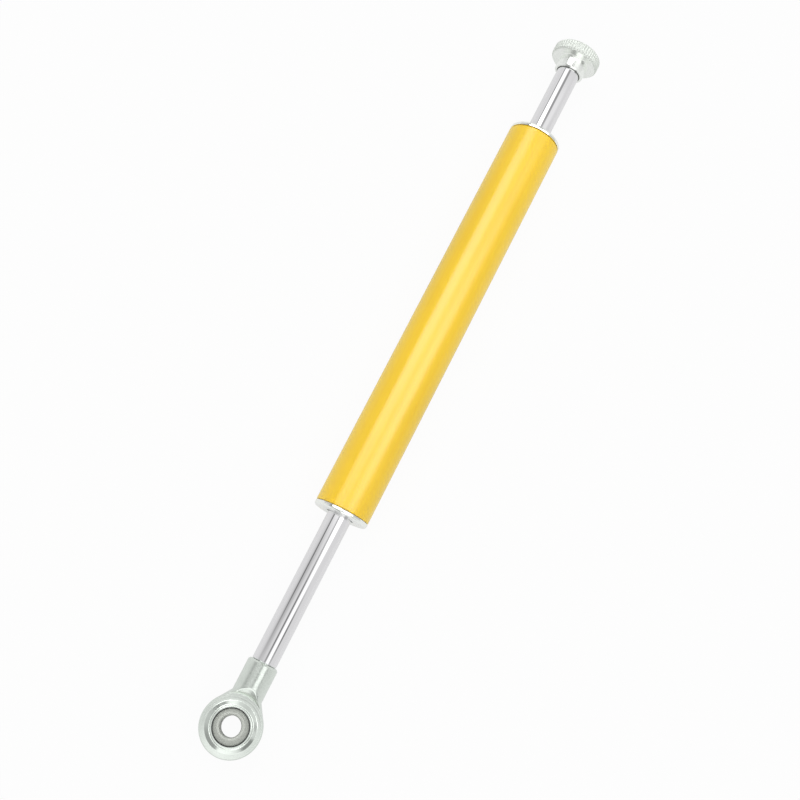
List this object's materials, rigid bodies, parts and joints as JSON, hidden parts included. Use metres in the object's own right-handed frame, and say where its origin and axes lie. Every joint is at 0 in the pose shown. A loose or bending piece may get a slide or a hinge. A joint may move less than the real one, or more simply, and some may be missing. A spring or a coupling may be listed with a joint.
{
  "type": "motorcycle steering damper",
  "caption": "Through rod steering damper: round barrel with sealed end caps, a polished rod with a spherical rod end, and a serrated click knob that sets the damping.",
  "frame": {"origin": "on the damper's axis at the middle of the barrel", "axes": "+X along the damper toward the adjuster knob, +Z along the rod end's bolt hole when the ball is level, up"},
  "size_m": [0.3276, 0.024, 0.0226],
  "materials": {
    "gold_barrel": "satin gold anodised",
    "bright_cap": "bright turned",
    "plated_rod": "ground and chrome plated",
    "zinc_eye": "turned, zinc plated",
    "ball_steel": "ground bearing steel",
    "race_liner": "dark bearing liner",
    "knob_metal": "clear anodised, serrated",
    "inner_aluminium": "turned",
    "spring_steel": "phosphated",
    "needle_steel": "ground",
    "bush_bronze": "sintered bronze",
    "seal_rubber": "matt nitrile",
    "ring_plastic": "filled slide ring"
  },
  "bodies": {
    "barrel": {"barrel": "gold_barrel", "front_gland": "bright_cap", "rear_gland": "bright_cap", "front_gland_o_ring": "seal_rubber", "rear_gland_o_ring": "seal_rubber", "front_outer_bush": "bush_bronze", "front_inner_bush": "bush_bronze", "rear_outer_bush": "bush_bronze", "rear_inner_bush": "bush_bronze", "front_rod_seal": "seal_rubber", "rear_rod_seal": "seal_rubber", "front_wiper": "seal_rubber", "rear_wiper": "seal_rubber"},
    "piston": {"piston": "inner_aluminium", "piston_ring": "ring_plastic", "piston_o_ring": "seal_rubber"},
    "rod": {"piston_rod": "plated_rod", "front_piston_circlip": "spring_steel", "rear_piston_circlip": "spring_steel", "knob_clip": "spring_steel", "rod_end_housing": "zinc_eye"},
    "needle": {"metering_needle": "needle_steel", "needle_inner_o_ring": "seal_rubber", "needle_outer_o_ring": "seal_rubber"},
    "knob": {"adjuster_knob": "knob_metal", "knob_dust_seal": "seal_rubber", "knob_end_plug": "knob_metal", "detent_ball": "ball_steel", "detent_spring": "spring_steel"},
    "race": {"rod_end_race": "race_liner"},
    "ball": {"rod_end_ball": "ball_steel"}
  },
  "joints": [
    {"name": "piston_slide", "type": "slide", "parent": "barrel", "child": "piston", "axis": [1, 0, 0], "range_m": [-0.02315, 0.05185]},
    {"name": "rod_turn", "type": "hinge", "parent": "piston", "child": "rod", "pos_m": [0, 0, 0], "axis": [1, 0, 0], "continuous": true},
    {"name": "knob_turn", "type": "hinge", "parent": "rod", "child": "knob", "pos_m": [0.13095, 0, 0], "axis": [1, 0, 0], "range_deg": [0, 315]},
    {"name": "needle_feed", "type": "slide", "parent": "knob", "child": "needle", "axis": [1, 0, 0], "range_m": [0, 0.000875]},
    {"name": "race_spin", "type": "hinge", "parent": "rod", "child": "race", "pos_m": [-0.17965, 0, 0], "axis": [0, 0, 1], "continuous": true},
    {"name": "ball_tilt", "type": "hinge", "parent": "race", "child": "ball", "pos_m": [-0.17965, 0, 0], "axis": [-0.6157, 0.788, 0], "range_deg": [-17.5, 8.5]}
  ],
  "couplings": [
    {"joint": "knob_turn", "follows": "needle_feed", "rad_per_m": 6283.2}
  ]
}
